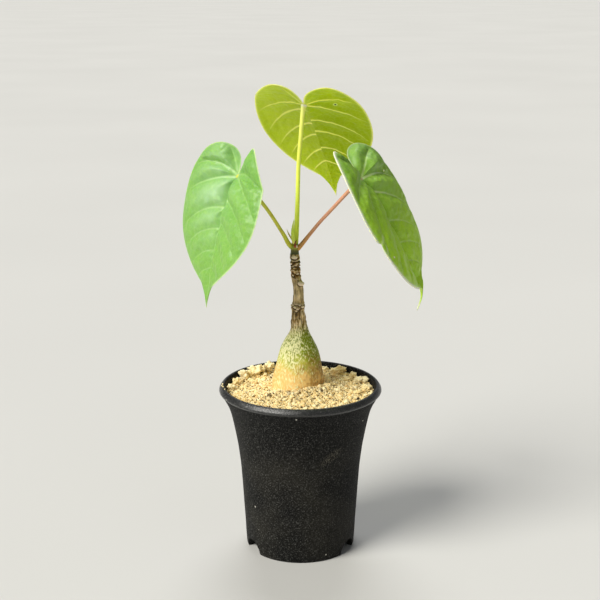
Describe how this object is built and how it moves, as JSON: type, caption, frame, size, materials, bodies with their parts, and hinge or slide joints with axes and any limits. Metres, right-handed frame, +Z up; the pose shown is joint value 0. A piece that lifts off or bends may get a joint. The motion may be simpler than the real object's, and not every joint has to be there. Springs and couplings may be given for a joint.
{
  "type": "potted caudex plant (shaving brush tree)",
  "caption": "Small caudex plant with a swollen base, a thin woody stem and heart-shaped drip-tip leaves, in a flared black plastic pot of pale granules.",
  "frame": {"origin": "middle of the underside of the object's bounding box, level with the pot's foot; the pot's axis stands 1.1 mm to -X and 5.7 mm to -Y of it", "axes": "+Z up along the stem, the pictured front faces -Y, +X to the right of the picture"},
  "size_m": [0.1289, 0.1167, 0.2567],
  "materials": {
    "pot_plastic": "matte",
    "granules": "matte",
    "bark": "matte",
    "green_stem": "satin",
    "yellow_petiole": "satin",
    "pale_petiole": "satin",
    "salmon_petiole": "satin",
    "pale_blade": "satin",
    "under_blade": "satin",
    "dark_blade": "satin"
  },
  "bodies": {
    "root": {"pot": "pot_plastic", "potting_mix": "granules", "caudex_and_stem": "bark", "stem_tip": "green_stem", "petiole_left": "yellow_petiole", "petiole_middle": "pale_petiole", "petiole_right": "salmon_petiole", "leaf_left": "pale_blade", "leaf_middle": "under_blade", "leaf_right": "dark_blade"}
  },
  "joints": []
}
